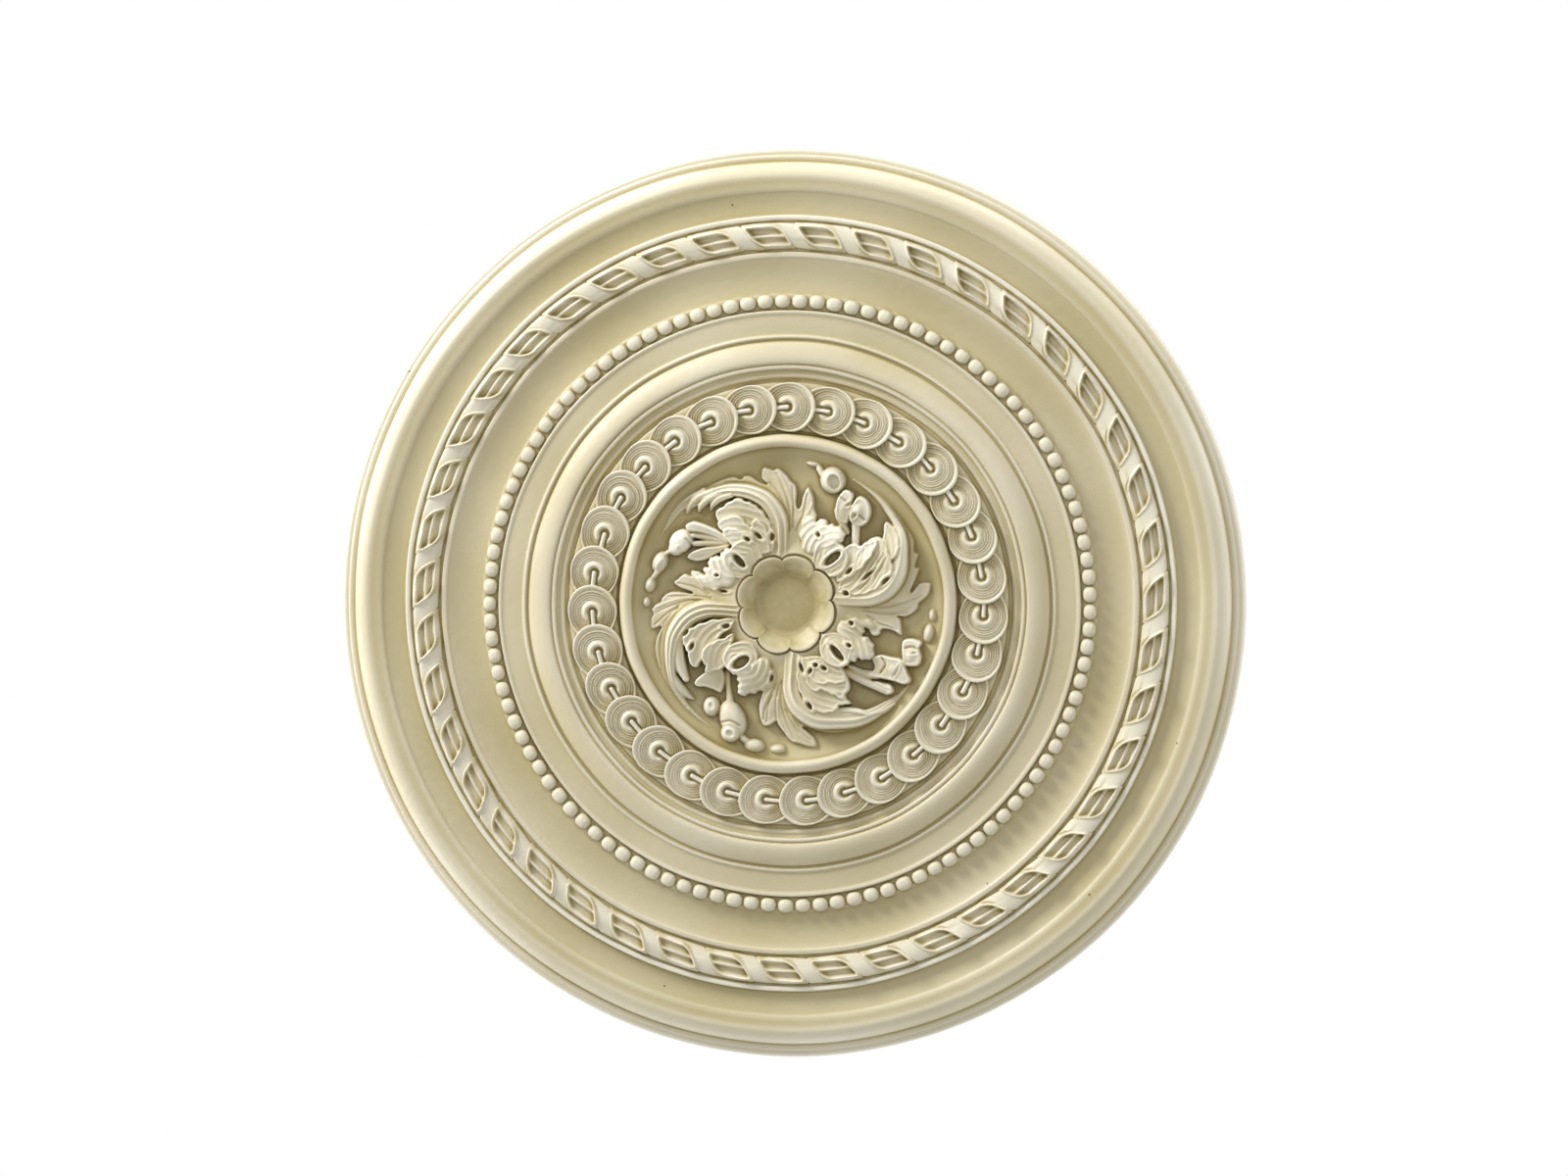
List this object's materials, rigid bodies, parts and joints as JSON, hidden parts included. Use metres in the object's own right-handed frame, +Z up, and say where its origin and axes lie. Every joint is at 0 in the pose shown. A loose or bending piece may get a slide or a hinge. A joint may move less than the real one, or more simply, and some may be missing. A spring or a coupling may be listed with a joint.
{
  "type": "ceiling rose",
  "caption": "Round cast plaster ceiling rose with turned mouldings, a ribbon ring, a bead ring, overlapping coins and curling acanthus leaves round a recessed centre.",
  "frame": {"origin": "middle of the flat back, on the plane of the ceiling that it is fixed to", "axes": "+Z up out of the back into the ceiling, so that the ornament faces down to -Z; the centre of one of the four leaves lies along -Y"},
  "size_m": [0.76, 0.76, 0.045],
  "materials": {
    "plaster": "matte"
  },
  "bodies": {
    "root": {"ceiling_rose": "plaster"}
  },
  "joints": []
}
